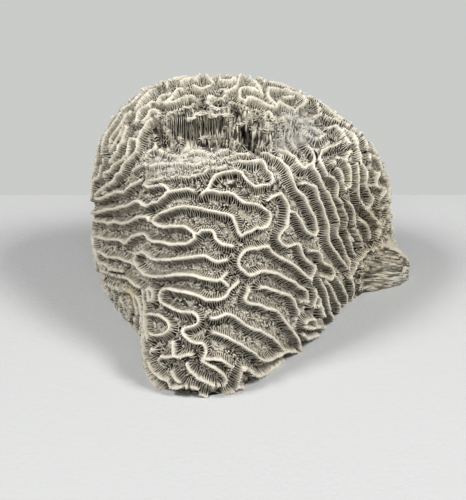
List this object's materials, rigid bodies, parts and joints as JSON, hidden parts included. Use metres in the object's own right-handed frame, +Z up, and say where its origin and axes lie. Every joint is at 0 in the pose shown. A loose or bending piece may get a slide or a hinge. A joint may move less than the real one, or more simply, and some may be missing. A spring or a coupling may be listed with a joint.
{
  "type": "brain coral skeleton",
  "caption": "Dry brain coral skeleton: a pale domed lump covered in meandering, finely combed ridges, with a flat cut base that it rests on as a display piece.",
  "frame": {"origin": "middle of the bounding box in plan, on the plane of the flat cut base", "axes": "+Z up away from the cut base, -Y towards the narrow toe that faces the camera, +X towards the low wing at the right"},
  "size_m": [0.165, 0.1498, 0.1129],
  "materials": {
    "coral_stone": "dry, rough and chalky, pale bone on the ridge crests and darker in the valleys"
  },
  "bodies": {
    "root": {"coral": "coral_stone"}
  },
  "joints": []
}
